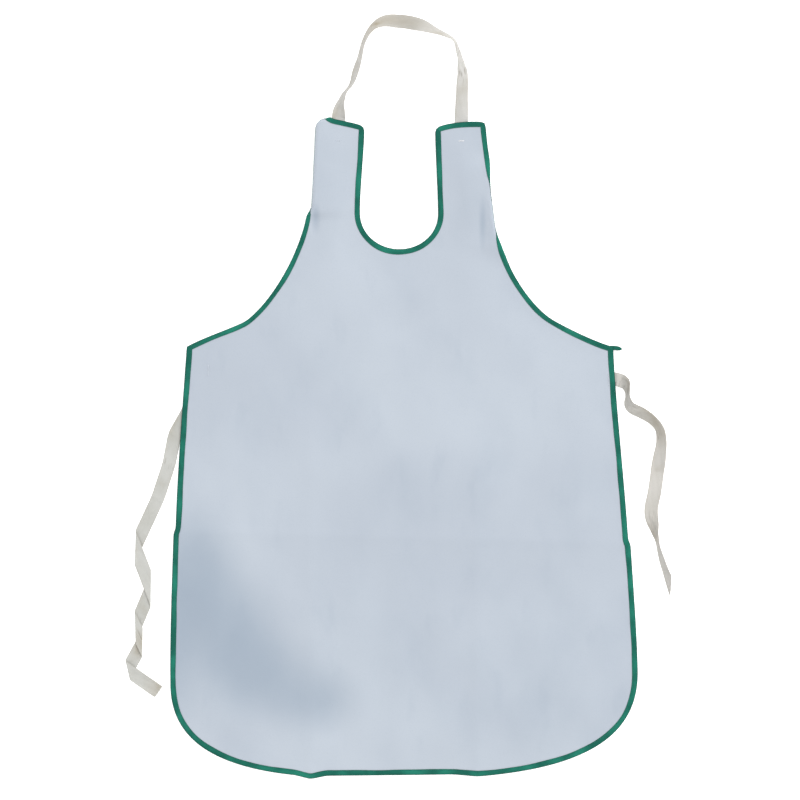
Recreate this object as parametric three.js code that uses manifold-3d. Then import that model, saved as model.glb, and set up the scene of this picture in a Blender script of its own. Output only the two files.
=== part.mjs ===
// A dental X-ray apron, lying face up: two plies of lead rubber between two fabric covers, bound all round
// with folded green tape, with a cotton neck strap and two cotton waist ties sewn to its back.
// Millimetres, +Z up. The origin is under the middle of the apron, on the surface that it lies on;
// +Y runs from the hem to the neck, and +X to the right of someone who looks down at the front.
import * as THREE from "three";
import { mergeVertices } from "three/addons/utils/BufferGeometryUtils.js";
import Module from "manifold-3d";

const wasm = await Module();
wasm.setup();

// Cut of the apron: half widths from the centre line, and heights along Y.
const TOP = 490; // outer corners of the shoulders
const HEM = -490;
const NECK_TOP = { x: 53, y: 480 }; // inner corner of a shoulder
const NECK_BOW = { x: 57, y: 348, depth: 50 }; // where the round bottom of the neckline starts
const BIB_HALF = 129;
const ARM_BEND = { x: 231, y: 190 }; // where the armhole turns towards the side
const UNDERARM = { x: 320, y: 151 };
const SKIRT = { x: 351, y: -325 }; // widest place, where the bottom corner starts
const HEM_FLAT = 135; // half the straight stretch of the hem
// Control points of the curves on the left side, from the shoulder down.
const ARMHOLE_CURVE = [-133.7, 355.4, -142, 267.7];
const UNDERARM_CURVE = [-249, 180, -291, 164];
const SIDE_CURVE = [-326, 45, -347, -189];
const CORNER_CURVE = [-SKIRT.x, SKIRT.y - 105, -285, HEM];
const CURVE_STEPS = 12; // straight pieces that stand for a curve
const NECKLINE_STEPS = 22;

// Thicknesses.
const TAPE = 0.5; // binding tape
const COVER = 0.5;
const LEAD_PLY = 1.1; // lead rubber, 0.25 mm lead equivalent a ply
const STRAP = 0.8; // cotton webbing
const THREAD = 0.3;

// Heights of the layers' undersides, from the surface up.
const Z_STRAP = THREAD; // the tacks' lower bars are under the webbing
const Z_BACK_THREAD = Z_STRAP + STRAP;
const Z_BACK_TAPE = Z_BACK_THREAD + THREAD;
const Z_BACK_COVER = Z_BACK_TAPE + TAPE;
const Z_REAR_PLY = Z_BACK_COVER + COVER;
const Z_FRONT_PLY = Z_REAR_PLY + LEAD_PLY;
const Z_FRONT_COVER = Z_FRONT_PLY + LEAD_PLY;
const Z_FRONT_TAPE = Z_FRONT_COVER + COVER;
const Z_FRONT_THREAD = Z_FRONT_TAPE + TAPE;

// Binding and stitching.
const LEG = 8; // how far each leg of the folded tape reaches over the cloth
const FOLD_EASE = 0.4; // chamfer of the tape's fold
const COVER_INSET = TAPE + 0.3;
const PLY_INSET = 2.8; // the lead rubber is cut a little smaller than the covers
const SEAM_INSET = 6; // stitch line, from the apron's edge
const SEAM_WIDTH = 0.5;
const CLEAR = 0.3; // gap between pieces that are cut at each other
const MIDDLE = { y: -150, width: 300, length: 400 }; // plain rectangle in the middle of each layer
const TAIL = { length: 18, half: 3.8, root: 3, thickness: 2 }; // loose end of the right armhole's tape

// Webbing. Each strap is one length of it: a sewn end behind the apron, and past the fold line a free part.
const WEB = 20; // width
const NECK_X = 92; // middle of each end of the neck strap
const SEWN_REACH = 140; // each sewn end lies within this distance of its tack
const BEYOND = 1000; // more than the length of any strap
// A fold line, through a point and at an angle in degrees from the X axis. The free part is to its left.
const FOLDS = {
  neck: { x: 0, y: 489, angle: 0 },
  left_tie: { x: -332.2, y: 21, angle: 85.2 },
  right_tie: { x: 327.2, y: 101, angle: -86 },
};
const TACKS = {
  left_neck: { x: -NECK_X, y: 460, length: 8, across: true },
  right_neck: { x: NECK_X, y: 460, length: 8, across: true },
  left_tie: { x: -287, y: 117, length: 16, across: false },
  right_tie: { x: 312, y: 102, length: 16, across: false },
};
const TACK_WEB = 0.8; // thickness of a tack's stitches through the cloth
const TACK_BAR = 1.8;

// Routes of the webbing, as [x, y, tilt]. The tilt is the turn about the route, in degrees: at 0 the webbing
// lies flat, and at 90 it stands on its edge.
const NECK_ROUTE = [
  [-92, 449, 0], [-92, 493, 0], [-91, 504, 25], [-87, 521, 55], [-81, 533, 72], [-74, 542, 70],
  [-66, 565, 61], [-60, 587, 66], [-54, 610, 70], [-48, 622, 66], [-40, 631, 55], [-23, 640, 25],
  [-1, 640, 0], [24, 636, 8], [51, 625, 48], [71, 616, 68], [80, 611, 78], [85, 601, 74],
  [88, 588, 68], [92, 574, 54], [93.5, 562, 42], [93.5, 547, 33], [93, 528, 25], [92.5, 507, 10],
  [92, 493, 0], [92, 449, 0],
];
const LEFT_TIE_ROUTE = [
  [-280, 131, 0], [-318, 55, 0], [-338, 20, 0], [-346, -23, 0], [-363, -75, 0], [-379, -108, 0],
  [-396, -146, 8], [-385, -181, 0], [-372, -211, 8], [-382, -238, 8], [-394, -262, 30],
  [-398, -291, 30], [-409, -324, 8], [-403, -337, 0], [-384, -348, 0], [-364, -359, 0],
];
const RIGHT_TIE_ROUTE = [
  [295, 102, 0], [331, 101, 0], [337, 97, -40], [339.5, 88, -72], [340, 77, -80], [345, 62, -40],
  [361, 52.5, -38], [377, 42, -52], [388, 28, -57], [391, 12, -48], [389, -11, -28], [386, -35, 0],
  [382, -64, 0], [376.5, -97, -12], [380, -118, -50], [384, -136, -78], [388.5, -157, -78],
  [394, -178, -66], [401, -194, -56], [408.5, -221, -48],
];

const CLOTH = { color: 0xc7d1de, roughness: 0.75, metalness: 0 };
const LINING = { color: 0xbfc8d2, roughness: 0.85, metalness: 0 };
const LEAD_RUBBER = { color: 0x4a4c50, roughness: 0.6, metalness: 0 };
const GREEN_TAPE = { color: 0x1f7a60, roughness: 0.8, metalness: 0 };
const GREEN_THREAD = { color: 0x2a8a6c, roughness: 0.7, metalness: 0 };
const WHITE_THREAD = { color: 0xe9ebee, roughness: 0.7, metalness: 0 };
const WEBBING = { color: 0xd2cfc4, roughness: 0.9, metalness: 0 };

const vector = (x, y) => new THREE.Vector2(x, y);
// The same run on the other side of the centre line, in the opposite direction.
const mirrored = (points) => points.map((p) => vector(-p.x, p.y)).reverse();

// The apron's edge as six runs of points, counterclockwise, each ending where the next one starts.
function edgeRuns() {
  const neckline = new THREE.Path();
  neckline.moveTo(NECK_TOP.x, NECK_TOP.y);
  neckline.lineTo(NECK_BOW.x, NECK_BOW.y);
  neckline.absellipse(0, NECK_BOW.y, NECK_BOW.x, NECK_BOW.depth, 0, Math.PI, true);
  neckline.lineTo(-NECK_TOP.x, NECK_TOP.y);

  const armhole = new THREE.Path();
  armhole.moveTo(-BIB_HALF, TOP);
  armhole.bezierCurveTo(...ARMHOLE_CURVE, -ARM_BEND.x, ARM_BEND.y);
  armhole.bezierCurveTo(...UNDERARM_CURVE, -UNDERARM.x, UNDERARM.y);

  const side = new THREE.Path();
  side.moveTo(-UNDERARM.x, UNDERARM.y);
  side.bezierCurveTo(...SIDE_CURVE, -SKIRT.x, SKIRT.y);
  side.bezierCurveTo(...CORNER_CURVE, -HEM_FLAT, HEM);

  const shoulder = [vector(-NECK_TOP.x, NECK_TOP.y), vector(-BIB_HALF, TOP)];
  const armholePoints = armhole.getPoints(CURVE_STEPS);
  const sidePoints = side.getPoints(CURVE_STEPS);
  return {
    neckline: neckline.getPoints(NECKLINE_STEPS),
    left_shoulder: shoulder,
    left_armhole: armholePoints,
    hem: [...sidePoints, ...mirrored(sidePoints)],
    right_armhole: mirrored(armholePoints),
    right_shoulder: mirrored(shoulder),
  };
}

const runs = edgeRuns();
// Every corner of the edge once, all the way round.
const edge = Object.values(runs).flatMap((points) => points.slice(0, -1));

// Where a point of the edge goes when the edge moves inwards by 1 mm, with neighbouring runs mitred.
function inwardAt(point) {
  const at = edge.findIndex((p) => p.distanceTo(point) < 1e-6);
  const before = edge[(at + edge.length - 1) % edge.length];
  const after = edge[(at + 1) % edge.length];
  const left = (a, b) => vector(a.y - b.y, b.x - a.x).normalize();
  const sum = left(before, edge[at]).add(left(edge[at], after));
  return sum.multiplyScalar(2 / sum.lengthSq());
}

// A point of the edge, moved inwards with it.
const insetPoint = (point, inset) => point.clone().addScaledVector(inwardAt(point), inset);

// The triangles that fill a flat ring of points, winding the same way as the ring.
function capOf(ring) {
  const start = ring[0];
  const across = ring[1].clone().sub(start).normalize();
  const normal = across.clone().cross(ring[ring.length - 1].clone().sub(start)).normalize();
  const up = normal.cross(across);
  const flat = ring.map((p) => p.clone().sub(start)).map((p) => vector(p.dot(across), p.dot(up)));
  const faces = THREE.ShapeUtils.triangulateShape(flat, []);
  const windsAlike = faces.some((face) => face.some((corner, i) => face[(i + 1) % 3] === corner + 1));
  return windsAlike ? faces : faces.map((face) => [...face].reverse());
}

// A closed body from rings of the same number of points, capped at both ends.
function bodyOf(rings) {
  const count = rings[0].length;
  const positions = rings.flat().flatMap((p) => [p.x, p.y, p.z]);
  const index = [];
  for (let ring = 0; ring + 1 < rings.length; ring++)
    for (let i = 0; i < count; i++) {
      const a = ring * count + i;
      const b = ring * count + ((i + 1) % count);
      const [c, d] = [a + count, b + count];
      // The two faces of a thin twisted body are split along the same diagonal, so that they don't cross.
      index.push(...(i < count / 2 ? [a, b, d, a, d, c] : [a, b, c, b, d, c]));
    }
  const last = (rings.length - 1) * count;
  for (const [a, b, c] of capOf(rings[0])) index.push(c, b, a);
  for (const [a, b, c] of capOf(rings[rings.length - 1])) index.push(last + a, last + b, last + c);
  const geometry = new THREE.BufferGeometry();
  geometry.setAttribute("position", new THREE.Float32BufferAttribute(positions, 3));
  geometry.setIndex(index);
  return facingOut(geometry);
}

// The same body with its faces turned outwards.
function facingOut(geometry) {
  const p = geometry.getAttribute("position");
  const index = geometry.index.array;
  const corner = (i) => new THREE.Vector3().fromBufferAttribute(p, index[i]);
  let volume = 0;
  for (let i = 0; i < index.length; i += 3) volume += corner(i).dot(corner(i + 1).cross(corner(i + 2)));
  if (volume < 0) geometry.setIndex([...index].reverse());
  return geometry;
}

// A section of [inset, z] corners, carried along a run of the edge.
function alongRun(points, section) {
  const last = points.length - 1;
  const rings = points.map((point, i) => {
    const trim = vector(0, 0);
    if (i === 0) trim.copy(points[1]).sub(point).setLength(CLEAR / 2);
    if (i === last) trim.copy(points[last - 1]).sub(point).setLength(CLEAR / 2);
    return section.map(([inset, z]) => {
      const at = insetPoint(point, inset).add(trim);
      return new THREE.Vector3(at.x, at.y, z);
    });
  });
  return bodyOf(rings);
}

const bindingSection = [
  [FOLD_EASE, Z_BACK_TAPE],
  [LEG, Z_BACK_TAPE],
  [LEG, Z_BACK_COVER],
  [TAPE, Z_BACK_COVER],
  [TAPE, Z_FRONT_TAPE],
  [LEG, Z_FRONT_TAPE],
  [LEG, Z_FRONT_THREAD],
  [FOLD_EASE, Z_FRONT_THREAD],
  [0, Z_FRONT_THREAD - FOLD_EASE],
  [0, Z_BACK_TAPE + FOLD_EASE],
];

const threadSection = (z) => [
  [SEAM_INSET, z],
  [SEAM_INSET + SEAM_WIDTH, z],
  [SEAM_INSET + SEAM_WIDTH, z + THREAD],
  [SEAM_INSET, z + THREAD],
];

// The corners of a rectangle, counterclockwise, from its middle and its size.
function rectangle(x, y, width, height) {
  const [w, h] = [width / 2, height / 2];
  return [vector(x - w, y - h), vector(x + w, y - h), vector(x + w, y + h), vector(x - w, y + h)];
}

// A flat layer with upright edges, and a slot for each tack that goes through it. The middle of its two
// faces is a plain rectangle, which the apron can be laid or propped on.
function layer(outline, z, thickness, slots) {
  const loops = [outline, ...slots];
  const middle = rectangle(0, MIDDLE.y, MIDDLE.width, MIDDLE.length);
  const points = [...loops, middle].flat();
  const top = points.length;
  const faces = THREE.ShapeUtils.triangulateShape(outline, [...slots, middle]);
  const corner = top - middle.length;
  faces.push([corner, corner + 1, corner + 2], [corner, corner + 2, corner + 3]);

  const index = [];
  for (const [a, b, c] of faces) {
    const turn = points[b].clone().sub(points[a]).cross(points[c].clone().sub(points[a]));
    const [p, q] = turn > 0 ? [b, c] : [c, b];
    index.push(a, q, p, top + a, top + p, top + q);
  }
  let start = 0;
  for (const loop of loops) {
    loop.forEach((_, i) => {
      const ends = [start + i, start + ((i + 1) % loop.length)];
      const [a, b] = loop === outline ? ends : [ends[1], ends[0]];
      index.push(a, b, top + b, a, top + b, top + a);
    });
    start += loop.length;
  }
  const positions = [z, z + thickness].flatMap((height) => points.flatMap((p) => [p.x, p.y, height]));
  const geometry = new THREE.BufferGeometry();
  geometry.setAttribute("position", new THREE.Float32BufferAttribute(positions, 3));
  geometry.setIndex(index);
  return geometry;
}

// Webbing along a route. Where it tilts, its lower edge stays on the surface.
function webbing(route) {
  const middle = route.map(([x, y, tilt]) => {
    const lift = (WEB / 2) * Math.abs(Math.sin(THREE.MathUtils.degToRad(tilt)));
    return new THREE.Vector3(x, y, Z_STRAP + STRAP / 2 + lift);
  });
  const rings = middle.map((point, i) => {
    const into = point.clone().sub(middle[Math.max(i - 1, 0)]).normalize();
    const out = middle[Math.min(i + 1, middle.length - 1)].clone().sub(point).normalize();
    const along = into.clone().add(out).normalize();
    const across = new THREE.Vector3(along.y, -along.x, 0).normalize();
    const up = across.clone().cross(along);
    const angle = THREE.MathUtils.degToRad(route[i][2]);
    const wide = across.clone().multiplyScalar(Math.cos(angle)).addScaledVector(up, Math.sin(angle));
    const thick = wide.clone().cross(along);
    const corner = (w, t) =>
      point.clone().addScaledVector(wide, (w * WEB) / 2).addScaledVector(thick, (t * STRAP) / 2);
    return [corner(-1, -1), corner(1, -1), corner(1, 1), corner(-1, 1)];
  });
  return bodyOf(rings);
}

// manifold-3d joins and cuts.
function toSolid(geometry) {
  const bare = geometry.index ? geometry.toNonIndexed() : geometry.clone();
  bare.deleteAttribute("normal");
  bare.deleteAttribute("uv");
  const merged = mergeVertices(bare, 1e-4);
  return new wasm.Manifold(
    new wasm.Mesh({
      numProp: 3,
      vertProperties: merged.getAttribute("position").array,
      triVerts: new Uint32Array(merged.index.array),
    }),
  );
}

function toGeometry(solid) {
  const { vertProperties, triVerts } = solid.getMesh();
  const geometry = new THREE.BufferGeometry();
  geometry.setAttribute("position", new THREE.BufferAttribute(vertProperties, 3));
  geometry.setIndex(new THREE.BufferAttribute(triVerts, 1));
  return geometry;
}

const joined = (a, b) => toGeometry(toSolid(a).add(toSolid(b)));
const cut = (a, b) => toGeometry(toSolid(a).subtract(toSolid(b)));
const common = (a, b) => toGeometry(toSolid(a).intersect(toSolid(b)));

// The side of a fold line on which a strap's free part lies, as a solid that is larger than the strap.
// It stops short of the line by the gap, or starts before it where the gap is negative.
function beyondFold({ x, y, angle }, gap) {
  const half = new THREE.BoxGeometry(2 * BEYOND, BEYOND, BEYOND);
  const turn = THREE.MathUtils.degToRad(angle);
  return half.translate(0, BEYOND / 2 + gap, 0).rotateZ(turn).translate(x, y, 0);
}

// The slot that a tack needs in each piece that it goes through.
function tackSlot({ x, y, length, across }) {
  const [long, short] = [length + 2 * CLEAR, TACK_WEB + 2 * CLEAR];
  return across ? rectangle(x, y, long, short) : rectangle(x, y, short, long);
}

// The stretch of a strap that a tack holds, up to the fold line, with the tack's slot in it.
function sewnEnd(strap, fold, at) {
  const size = 2 * SEWN_REACH;
  const around = new THREE.BoxGeometry(size, size, size).translate(at.x, at.y, 0);
  const held = cut(common(strap, around), beyondFold(fold, -CLEAR / 2));
  const slot = new THREE.ExtrudeGeometry(new THREE.Shape(tackSlot(at)), { depth: WEB, bevelEnabled: false });
  return cut(held, slot.translate(0, 0, -WEB / 2));
}

// A bar tack: stitches through every layer, with a bar of thread on the front and one on the back.
function tack(length) {
  const [w, b] = [TACK_WEB / 2, TACK_BAR / 2];
  const profile = new THREE.Shape([
    vector(-b, 0), vector(b, 0), vector(b, THREAD), vector(w, THREAD),
    vector(w, Z_FRONT_TAPE), vector(b, Z_FRONT_TAPE), vector(b, Z_FRONT_TAPE + THREAD),
    vector(-b, Z_FRONT_TAPE + THREAD), vector(-b, Z_FRONT_TAPE), vector(-w, Z_FRONT_TAPE),
    vector(-w, THREAD), vector(-b, THREAD),
  ]);
  const geometry = new THREE.ExtrudeGeometry(profile, { depth: length, bevelEnabled: false });
  return geometry.translate(0, 0, -length / 2).rotateX(Math.PI / 2);
}

// The right armhole's tape runs on past the underarm corner as a short loose tail. It starts in the tape's
// fold, keeps clear of the hem's tape at the corner, and has a round end.
function tapeTail() {
  const root = insetPoint(vector(UNDERARM.x, UNDERARM.y), TAPE / 2);
  const beside = runs.right_armhole[1];
  const back = insetPoint(beside, TAPE / 2).sub(root).setLength(LEG).add(root);
  const start = UNDERARM.x + 2 * CLEAR;
  const end = start + TAIL.length - TAIL.half;
  const shape = new THREE.Shape();
  shape.moveTo(back.x, back.y);
  shape.lineTo(root.x + CLEAR, root.y + CLEAR);
  shape.lineTo(start, UNDERARM.y - TAIL.half);
  shape.lineTo(end, UNDERARM.y - TAIL.half);
  shape.absarc(end, UNDERARM.y, TAIL.half, -Math.PI / 2, Math.PI / 2, false);
  shape.lineTo(start, UNDERARM.y + TAIL.root);
  const size = { depth: TAIL.thickness, bevelEnabled: false, curveSegments: 5 };
  const middle = (Z_BACK_TAPE + Z_FRONT_THREAD) / 2;
  return new THREE.ExtrudeGeometry(shape, size).translate(0, 0, middle - TAIL.thickness / 2);
}

const apron = new THREE.Group();

// Adds a named piece to the apron.
function piece(name, geometry, look) {
  const mesh = new THREE.Mesh(geometry, new THREE.MeshStandardMaterial(look));
  mesh.name = name;
  apron.add(mesh);
  return mesh;
}

const tackSlots = Object.values(TACKS).map(tackSlot);
const coverCut = edge.map((point) => insetPoint(point, COVER_INSET));
const plyCut = edge.map((point) => insetPoint(point, PLY_INSET));
piece("back_cover", layer(coverCut, Z_BACK_COVER, COVER, tackSlots), LINING);
piece("rear_lead_ply", layer(plyCut, Z_REAR_PLY, LEAD_PLY, tackSlots), LEAD_RUBBER);
piece("front_lead_ply", layer(plyCut, Z_FRONT_PLY, LEAD_PLY, tackSlots), LEAD_RUBBER);
piece("front_cover", layer(coverCut, Z_FRONT_COVER, COVER, tackSlots), CLOTH);

for (const [run, points] of Object.entries(runs)) {
  const channel = alongRun(points, bindingSection);
  piece(run + "_binding", run === "right_armhole" ? joined(channel, tapeTail()) : channel, GREEN_TAPE);
  piece(run + "_front_thread", alongRun(points, threadSection(Z_FRONT_THREAD)), GREEN_THREAD);
  piece(run + "_back_thread", alongRun(points, threadSection(Z_BACK_THREAD)), GREEN_THREAD);
}

for (const [place, at] of Object.entries(TACKS)) {
  const thread = piece(place + "_tack", tack(at.length), WHITE_THREAD);
  thread.rotation.z = at.across ? Math.PI / 2 : 0;
  thread.position.set(at.x, at.y, 0);
}

const straps = [
  { name: "neck_strap", route: NECK_ROUTE, fold: FOLDS.neck, heldBy: ["left_neck", "right_neck"] },
  { name: "left_waist_tie", route: LEFT_TIE_ROUTE, fold: FOLDS.left_tie, heldBy: ["left_tie"] },
  { name: "right_waist_tie", route: RIGHT_TIE_ROUTE, fold: FOLDS.right_tie, heldBy: ["right_tie"] },
];
for (const { name, route, fold, heldBy } of straps) {
  const strap = webbing(route);
  for (const place of heldBy) piece(place + "_strap_end", sewnEnd(strap, fold, TACKS[place]), WEBBING);
  piece(name, common(strap, beyondFold(fold, CLEAR / 2)), WEBBING);
}

export default apron;
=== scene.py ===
"""The looks of a dental X-ray apron, lying face up: coated cloth over two plies of lead rubber, bound with
ribbed green tape, with a cotton neck strap and two cotton waist ties sewn to its back.

Everything is in metres, in the CAD model's frame: +Z up, +Y from the hem to the neck. The apron's layers,
tape and stitches are made flat, as they were cut, and lay() then puts them where they lie.
"""

import math

import bmesh
import bpy
import numpy as np
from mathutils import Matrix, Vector
from mathutils.geometry import delaunay_2d_cdt


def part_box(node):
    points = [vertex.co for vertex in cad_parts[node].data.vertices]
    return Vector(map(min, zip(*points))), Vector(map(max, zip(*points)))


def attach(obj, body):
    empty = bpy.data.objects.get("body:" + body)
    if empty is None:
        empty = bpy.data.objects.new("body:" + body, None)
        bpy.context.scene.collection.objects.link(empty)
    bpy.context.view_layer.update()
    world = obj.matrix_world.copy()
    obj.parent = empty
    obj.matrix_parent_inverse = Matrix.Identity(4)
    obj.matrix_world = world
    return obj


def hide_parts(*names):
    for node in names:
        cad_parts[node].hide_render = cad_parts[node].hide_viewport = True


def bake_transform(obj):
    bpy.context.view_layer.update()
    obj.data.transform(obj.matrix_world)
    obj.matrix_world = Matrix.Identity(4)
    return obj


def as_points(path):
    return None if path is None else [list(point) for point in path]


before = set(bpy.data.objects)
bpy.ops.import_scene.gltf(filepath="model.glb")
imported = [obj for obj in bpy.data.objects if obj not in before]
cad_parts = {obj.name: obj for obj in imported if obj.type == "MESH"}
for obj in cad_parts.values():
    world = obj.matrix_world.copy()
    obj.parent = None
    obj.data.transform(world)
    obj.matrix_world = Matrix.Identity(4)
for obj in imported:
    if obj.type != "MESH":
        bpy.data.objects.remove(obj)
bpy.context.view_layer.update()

MM = 0.001


# ------------------------ measures

# The apron's edge before its armholes are rolled, as six runs, counterclockwise. A run is its start, then
# a point for each straight stretch, or two handles and a point for each curved one.
RUNS = {
    "neckline": [
        (0.0525, 0.4795),
        [(0.053, 0.440), (0.0565, 0.390), (0.057, 0.350)],
        [(0.057, 0.321), (0.031, 0.298), (-0.001, 0.298)],
        [(-0.033, 0.298), (-0.060, 0.321), (-0.060, 0.352)],
        [(-0.060, 0.390), (-0.054, 0.440), (-0.053, 0.4815)],
    ],
    "left_shoulder": [
        (-0.053, 0.4815),
        [(-0.062, 0.4860), (-0.083, 0.4895), (-0.1000, 0.4925)],
        [(-0.1040, 0.4935), (-0.1070, 0.4985), (-0.1130, 0.5000)],
        [(-0.1180, 0.5010), (-0.1240, 0.4980), (-0.1282, 0.4935)],
    ],
    "left_armhole": [
        (-0.1282, 0.4935),
        [(-0.1318, 0.4895), (-0.1340, 0.4850), (-0.1342, 0.4780)],
        [(-0.1365, 0.430), (-0.140, 0.370), (-0.141, 0.345)],
        [(-0.147, 0.305), (-0.185, 0.225), (-0.231, 0.1905)],
        [(-0.250, 0.180), (-0.292, 0.167), (-0.3195, 0.152)],
    ],
    "hem": [
        (-0.3195, 0.152),
        [(-0.327, 0.046), (-0.346, -0.190), (-0.344, -0.354)],
        [(-0.344, -0.438), (-0.276, -0.478), (-0.1575, -0.490)],
        (-0.134, -0.496),
        (-0.110, -0.491),
        (0, -0.490),
        (0.080, -0.489),
        (0.1155, -0.492),
        [(0.298, -0.478), (0.356, -0.420), (0.3563, -0.3375)],
        [(0.354, -0.201), (0.323, 0.047), (0.3195, 0.1515)],
    ],
    "right_armhole": [
        (0.3195, 0.1515),
        [(0.290, 0.160), (0.250, 0.180), (0.2316, 0.1905)],
        [(0.205, 0.205), (0.170, 0.250), (0.1555, 0.2955)],
        [(0.1500, 0.318), (0.1470, 0.352), (0.1425, 0.385)],
        [(0.1390, 0.408), (0.1330, 0.425), (0.1280, 0.4885)],
    ],
    "right_shoulder": [(0.1280, 0.4885), [(0.105, 0.4905), (0.072, 0.4885), (0.0525, 0.4795)]],
}
EDGE_STEP = 2 * MM  # between points along the edge
GRID_STEP = 6 * MM  # and between those in the middle of a layer
SHARP_ANGLE = math.radians(50)  # edges that bend more than this stay sharp
LEFT, RIGHT = -1, 1
CREASES_UP = (-0.134, 0.1155)  # packing folds that run along Y
CREASE_ACROSS = (-0.1325, -0.025)  # the packing fold across the apron: its Y at X = 0, and its slope
KINK = 1.5 * MM  # how far the sides step out below the fold across
SHOULDER_Y = 0.45  # the shoulders' corners are above this
CURL_FOOT = 0.255  # the armholes are rolled only above this
LEFT_CURL = 3.2 * MM  # the radius of the left armhole's roll
RIGHT_CURL = 2.45 * MM
LEFT_ROLLED = 12.8 * MM  # how much of the left armhole's edge is rolled under, where most is
RIGHT_ROLLED = 11.3 * MM
LEFT_CORNER = (-0.1112, 0.4780)  # the middle of the bend in which the left roll turns the shoulder's corner
CURL_FADE = 0.35  # how fast the left roll leaves the shoulder's edge, past the corner
CORNER_PULL = 1.9 * MM  # how far the turned corners of the shoulders pull in
CORNER_REACH = 4.5 * MM

# Long low waves of the cloth: turns in a metre along X and Y, the turn at the origin, and the height.
WAVES = [
    (1.9, 0.8, 0.10, 1.7 * MM),
    (-1.1, 2.3, 0.40, 1.5 * MM),
    (3.4, -0.7, 0.75, 0.9 * MM),
    (0.9, 4.1, 0.20, 0.7 * MM),
    (5.3, 3.7, 0.60, 0.4 * MM),
]
EDGE_WAVES = [(9.0, 7.0, 0.20, 0.5 * MM), (-6.0, 10.0, 0.70, 0.4 * MM)]
# Broad hills and dents: X, Y, half width, half height, and how high or deep. The dents are beside the two
# armholes, where the rolled edge lets go.
SWELL = (0.05, -0.10, 0.27, 0.34, 4.6 * MM)
PLEATS = (-0.01, -0.33, 0.13, 0.14, 1.0 * MM)
PLEAT_PITCH = 64 * MM
DENTS = [(-0.127, 0.342, 9 * MM, 26 * MM, 1.6 * MM), (0.125, 0.330, 8 * MM, 38 * MM, 1.6 * MM)]

# The colours of each cover: light, dull, and darker for its mottling and its painted shade.
COVER_LOOKS = {
    "coated_cloth": ((202, 211, 222), (194, 203, 215), (164, 178, 194)),
    "lining_cloth": ((200, 207, 214), (190, 198, 206), (170, 179, 188)),
}
# Darker patches on the front, painted shade: X, Y, half width, half height, and how strong. Most lie towards
# the lower left, and the last two are the shade of the dents beside the armholes.
PAINTED_SHADE = [
    (-0.310, -0.160, 0.09, 0.10, 0.55),
    (-0.300, -0.235, 0.11, 0.13, 0.85),
    (-0.255, -0.285, 0.11, 0.12, 0.75),
    (-0.205, -0.335, 0.11, 0.09, 0.75),
    (-0.140, -0.375, 0.11, 0.07, 0.70),
    (-0.345, -0.300, 0.06, 0.17, 0.60),
    (-0.020, -0.300, 0.15, 0.20, 0.12),
    (0.230, -0.350, 0.22, 0.20, 0.14),
    (-0.1265, 0.345, 0.010, 0.030, 0.60),
    (0.1235, 0.336, 0.008, 0.055, 0.55),
]

# Heights of the layers, from the CAD model.
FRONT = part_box("front_cover")
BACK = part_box("back_cover")
FRONT_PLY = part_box("front_lead_ply")
REAR_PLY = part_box("rear_lead_ply")
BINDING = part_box("hem_binding")
STRAP_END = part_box("left_neck_strap_end")
MIDDLE = FRONT_PLY[0].z
STRAP_MIDDLE = (STRAP_END[0].z + STRAP_END[1].z) / 2
STRAP_THICK = STRAP_END[1].z - STRAP_END[0].z
TAPE_OUTER = (BINDING[1].z - BINDING[0].z) / 2
TAPE_INNER = FRONT[1].z - MIDDLE

COVER_INSET = 2 * MM  # how far the covers are cut back from the outside of the tape
PLY_INSET = 2.8 * MM
SKIN = 0.01 * MM  # how far each layer stays clear of its neighbours, on each side
# How much of the tape shows along each run, as a share of its usual width.
TAPE_SHOWS = {
    "neckline": 1.02,
    "left_shoulder": 0.93,
    "left_armhole": 0.92,
    "hem": 1.07,
    "right_armhole": 0.97,
    "right_shoulder": 1.0,
}
# The loose end of the right armhole's tape, which sticks out past the underarm corner.
TAIL_ROUTE = [(0.3125, 0.1500), (0.3215, 0.1500), (0.3285, 0.1490), (0.3325, 0.1480)]
TAIL_HALF_WIDTH = 3.4 * MM
TAIL_HALF_THICK = 1.25 * MM
TAIL_LENGTH = 20 * MM
TAIL_TWIST = math.radians(24)
SEAM_INSET = 6.5 * MM
STITCH_PITCH = 3.1 * MM
STITCH_LENGTH = 2.6 * MM
THREAD_RADIUS = 0.22 * MM
TACK_WIDTH = 2 * MM
TACK_PITCH = 0.9 * MM
TACK_THREAD_RADIUS = 0.2 * MM
# Bar tacks: the middle, the length, and whether the bar runs across.
TACKS = {
    "left_neck": (-0.092, 0.460, 8 * MM, True),
    "right_neck": (0.092, 0.460, 8 * MM, True),
    "left_tie": (-0.287, 0.117, 16 * MM, False),
    "right_tie": (0.312, 0.102, 16 * MM, False),
}
WEB = 20 * MM
WEB_COLUMNS = 17
FRAYED_YARNS = 16
YARN_RADIUS = 0.16 * MM

# Routes of the webbing, as X, Y and the tilt in degrees. The tilt is the turn about the route: at 0 the
# webbing lies flat, and at 90 it stands on its edge.
NECK_ROUTE = [
    (-0.092, 0.449, 0), (-0.092, 0.493, 0), (-0.091, 0.504, 25), (-0.087, 0.521, 60),
    (-0.081, 0.533, 72), (-0.074, 0.542, 70), (-0.066, 0.565, 61), (-0.060, 0.587, 66),
    (-0.054, 0.610, 70), (-0.048, 0.622, 66), (-0.040, 0.631, 55), (-0.023, 0.640, 25),
    (-0.001, 0.640, 0), (0.024, 0.636, 8), (0.051, 0.625, 48), (0.071, 0.616, 68),
    (0.080, 0.611, 78), (0.085, 0.601, 74), (0.088, 0.588, 68), (0.092, 0.574, 54),
    (0.0935, 0.562, 42), (0.0935, 0.547, 33), (0.093, 0.528, 25), (0.0925, 0.507, 10),
    (0.092, 0.493, 0), (0.092, 0.449, 0),
]
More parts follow.
